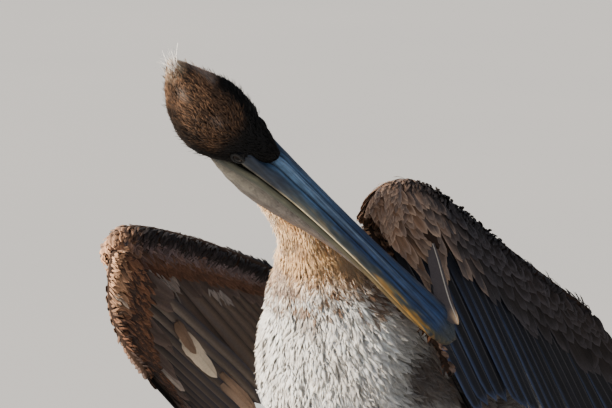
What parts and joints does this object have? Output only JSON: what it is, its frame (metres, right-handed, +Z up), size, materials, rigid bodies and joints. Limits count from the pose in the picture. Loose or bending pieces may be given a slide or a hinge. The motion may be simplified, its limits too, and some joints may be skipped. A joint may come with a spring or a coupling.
{
  "type": "brown pelican",
  "caption": "Standing young brown pelican preening: wings lifted off the body, neck turned back and the long pouched bill drawing one curved wing feather.",
  "frame": {"origin": "middle of the bounding box at floor level, between the feet and the tail", "axes": "+Z up, -Y the way the breast and toes point, +X the bird's left side"},
  "size_m": [0.4616, 0.6762, 0.6939],
  "materials": {
    "brown_feather": "matte",
    "head_feather": "matte",
    "pale_feather": "matte",
    "flight_feather": "satin",
    "bill_horn": "satin",
    "pouch_skin": "satin",
    "leg_skin": "satin",
    "claw_horn": "satin",
    "eye": "gloss"
  },
  "bodies": {
    "root": {"bill_lower": "bill_horn", "bill_upper": "bill_horn", "claw_left_hind": "claw_horn", "claw_left_inner": "claw_horn", "claw_left_middle": "claw_horn", "claw_left_outer": "claw_horn", "claw_right_hind": "claw_horn", "claw_right_inner": "claw_horn", "claw_right_middle": "claw_horn", "claw_right_outer": "claw_horn", "eye_left": "eye", "eye_right": "eye", "head": "head_feather", "leg_left_foot": "leg_skin", "leg_left_shank": "leg_skin", "leg_left_thigh": "pale_feather", "leg_right_foot": "leg_skin", "leg_right_shank": "leg_skin", "leg_right_thigh": "pale_feather", "neck_lower": "pale_feather", "neck_upper": "head_feather", "pouch": "pouch_skin", "tail": "flight_feather", "trunk": "pale_feather", "wing_left_forearm": "brown_feather", "wing_left_hand": "flight_feather", "wing_left_preened_feather": "flight_feather", "wing_left_upper_arm": "brown_feather", "wing_right_forearm": "brown_feather", "wing_right_hand": "flight_feather", "wing_right_upper_arm": "brown_feather"}
  },
  "joints": []
}
